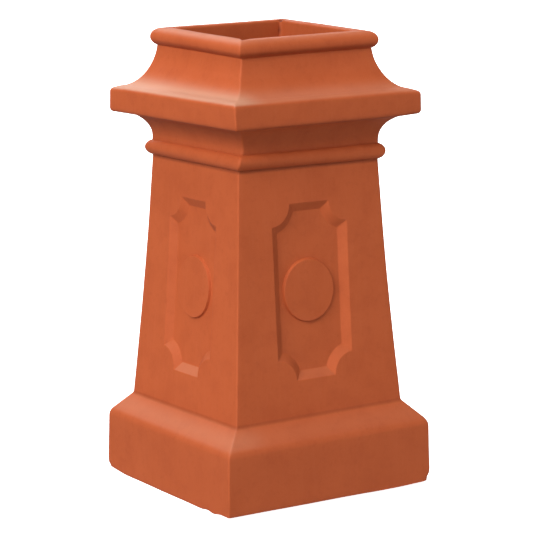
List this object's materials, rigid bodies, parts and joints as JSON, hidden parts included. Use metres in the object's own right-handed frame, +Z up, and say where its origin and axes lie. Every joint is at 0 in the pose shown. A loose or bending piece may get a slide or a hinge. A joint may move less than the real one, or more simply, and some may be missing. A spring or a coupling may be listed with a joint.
{
  "type": "chimney pot",
  "caption": "Square terracotta chimney pot with a splayed plinth, battered shaft with sunk scalloped panels, bead, cove, slab cornice, cavetto and roll rim, open through.",
  "frame": {"origin": "middle of the underside of the plinth, on the surface that the pot stands on", "axes": "+Z up through the flue, -Y out of the front face, +X out of the right-hand face"},
  "size_m": [0.36, 0.36, 0.6914],
  "materials": {
    "terracotta": "matte unglazed orange-red fired clay, with a faint pale bloom on the ledges and arrises"
  },
  "bodies": {
    "root": {"chimney_pot": "terracotta"}
  },
  "joints": []
}
